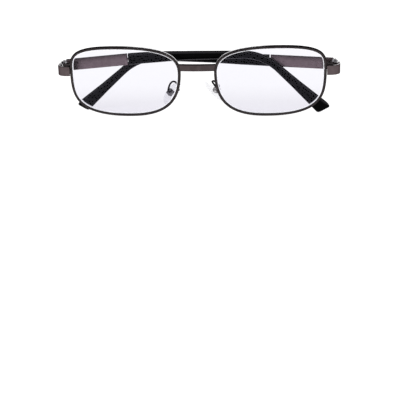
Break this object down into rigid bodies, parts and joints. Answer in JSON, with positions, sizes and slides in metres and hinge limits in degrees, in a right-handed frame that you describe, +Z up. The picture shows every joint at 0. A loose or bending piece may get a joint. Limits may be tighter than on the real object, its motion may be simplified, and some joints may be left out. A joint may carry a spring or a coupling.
{
  "type": "folding reading glasses",
  "caption": "Full-rim metal reading glasses with rounded rectangular lenses, flat bridge, nose pads on wire arms and temples that fold behind the lenses.",
  "frame": {"origin": "on the ground under the middle of the bounding box, glasses standing on the rims with the temples folded", "axes": "+X to the wearer's left along the front, +Y from the lenses towards the wearer, +Z up"},
  "size_m": [0.1392, 0.0166, 0.035],
  "materials": {
    "bridge": "dark gunmetal plating, satin, polished along its top edge",
    "rim": "near-black gunmetal plating, semi-gloss",
    "lens": "clear, polished, thin violet anti-reflection tint",
    "gunmetal": "purplish-brown gunmetal plating, satin with polished edges",
    "hinge_steel": "dark plated steel, semi-gloss",
    "screw_steel": "bright turned steel",
    "sleeve": "black moulded acetate, glossy",
    "silicone": "clear silicone, matt"
  },
  "bodies": {
    "front": {"bridge_bar": "bridge", "right_rim": "rim", "right_lens": "lens", "right_endpiece": "gunmetal", "right_rim_lock_upper": "rim", "right_rim_lock_lower": "rim", "right_rim_lock_screw": "hinge_steel", "right_hinge_front_leaf": "hinge_steel", "right_hinge_screw": "screw_steel", "right_pad_arm": "hinge_steel", "right_pad_box": "screw_steel", "right_pad_screw": "screw_steel", "left_rim": "rim", "left_lens": "lens", "left_endpiece": "gunmetal", "left_rim_lock_upper": "rim", "left_rim_lock_lower": "rim", "left_rim_lock_screw": "hinge_steel", "left_hinge_front_leaf": "hinge_steel", "left_hinge_screw": "screw_steel", "left_pad_arm": "hinge_steel", "left_pad_box": "screw_steel", "left_pad_screw": "screw_steel"},
    "right_temple": {"right_hinge_temple_leaf": "hinge_steel", "right_temple_blade": "gunmetal", "right_temple_sleeve": "sleeve"},
    "left_temple": {"left_hinge_temple_leaf": "hinge_steel", "left_temple_blade": "gunmetal", "left_temple_sleeve": "sleeve"},
    "right_pad": {"right_nose_pad": "silicone", "right_pad_stem": "screw_steel"},
    "left_pad": {"left_nose_pad": "silicone", "left_pad_stem": "screw_steel"}
  },
  "joints": [
    {"name": "right_temple_hinge", "type": "hinge", "parent": "front", "child": "right_temple", "pos_m": [-0.0668, 0.00248, 0.0236], "axis": [0, 0.0872, 0.9962], "range_deg": [0, 95]},
    {"name": "left_temple_hinge", "type": "hinge", "parent": "front", "child": "left_temple", "pos_m": [0.0668, 0.00248, 0.0236], "axis": [0, -0.0872, -0.9962], "range_deg": [0, 92.4]},
    {"name": "right_pad_rock", "type": "hinge", "parent": "front", "child": "right_pad", "pos_m": [-0.01412, 0.00236, 0.00966], "axis": [-0.6118, 0.6428, 0.461], "range_deg": [-8, 8]},
    {"name": "left_pad_rock", "type": "hinge", "parent": "front", "child": "left_pad", "pos_m": [0.00842, 0.00297, 0.01072], "axis": [0.183, 0.9659, 0.183], "range_deg": [-8, 8]}
  ]
}
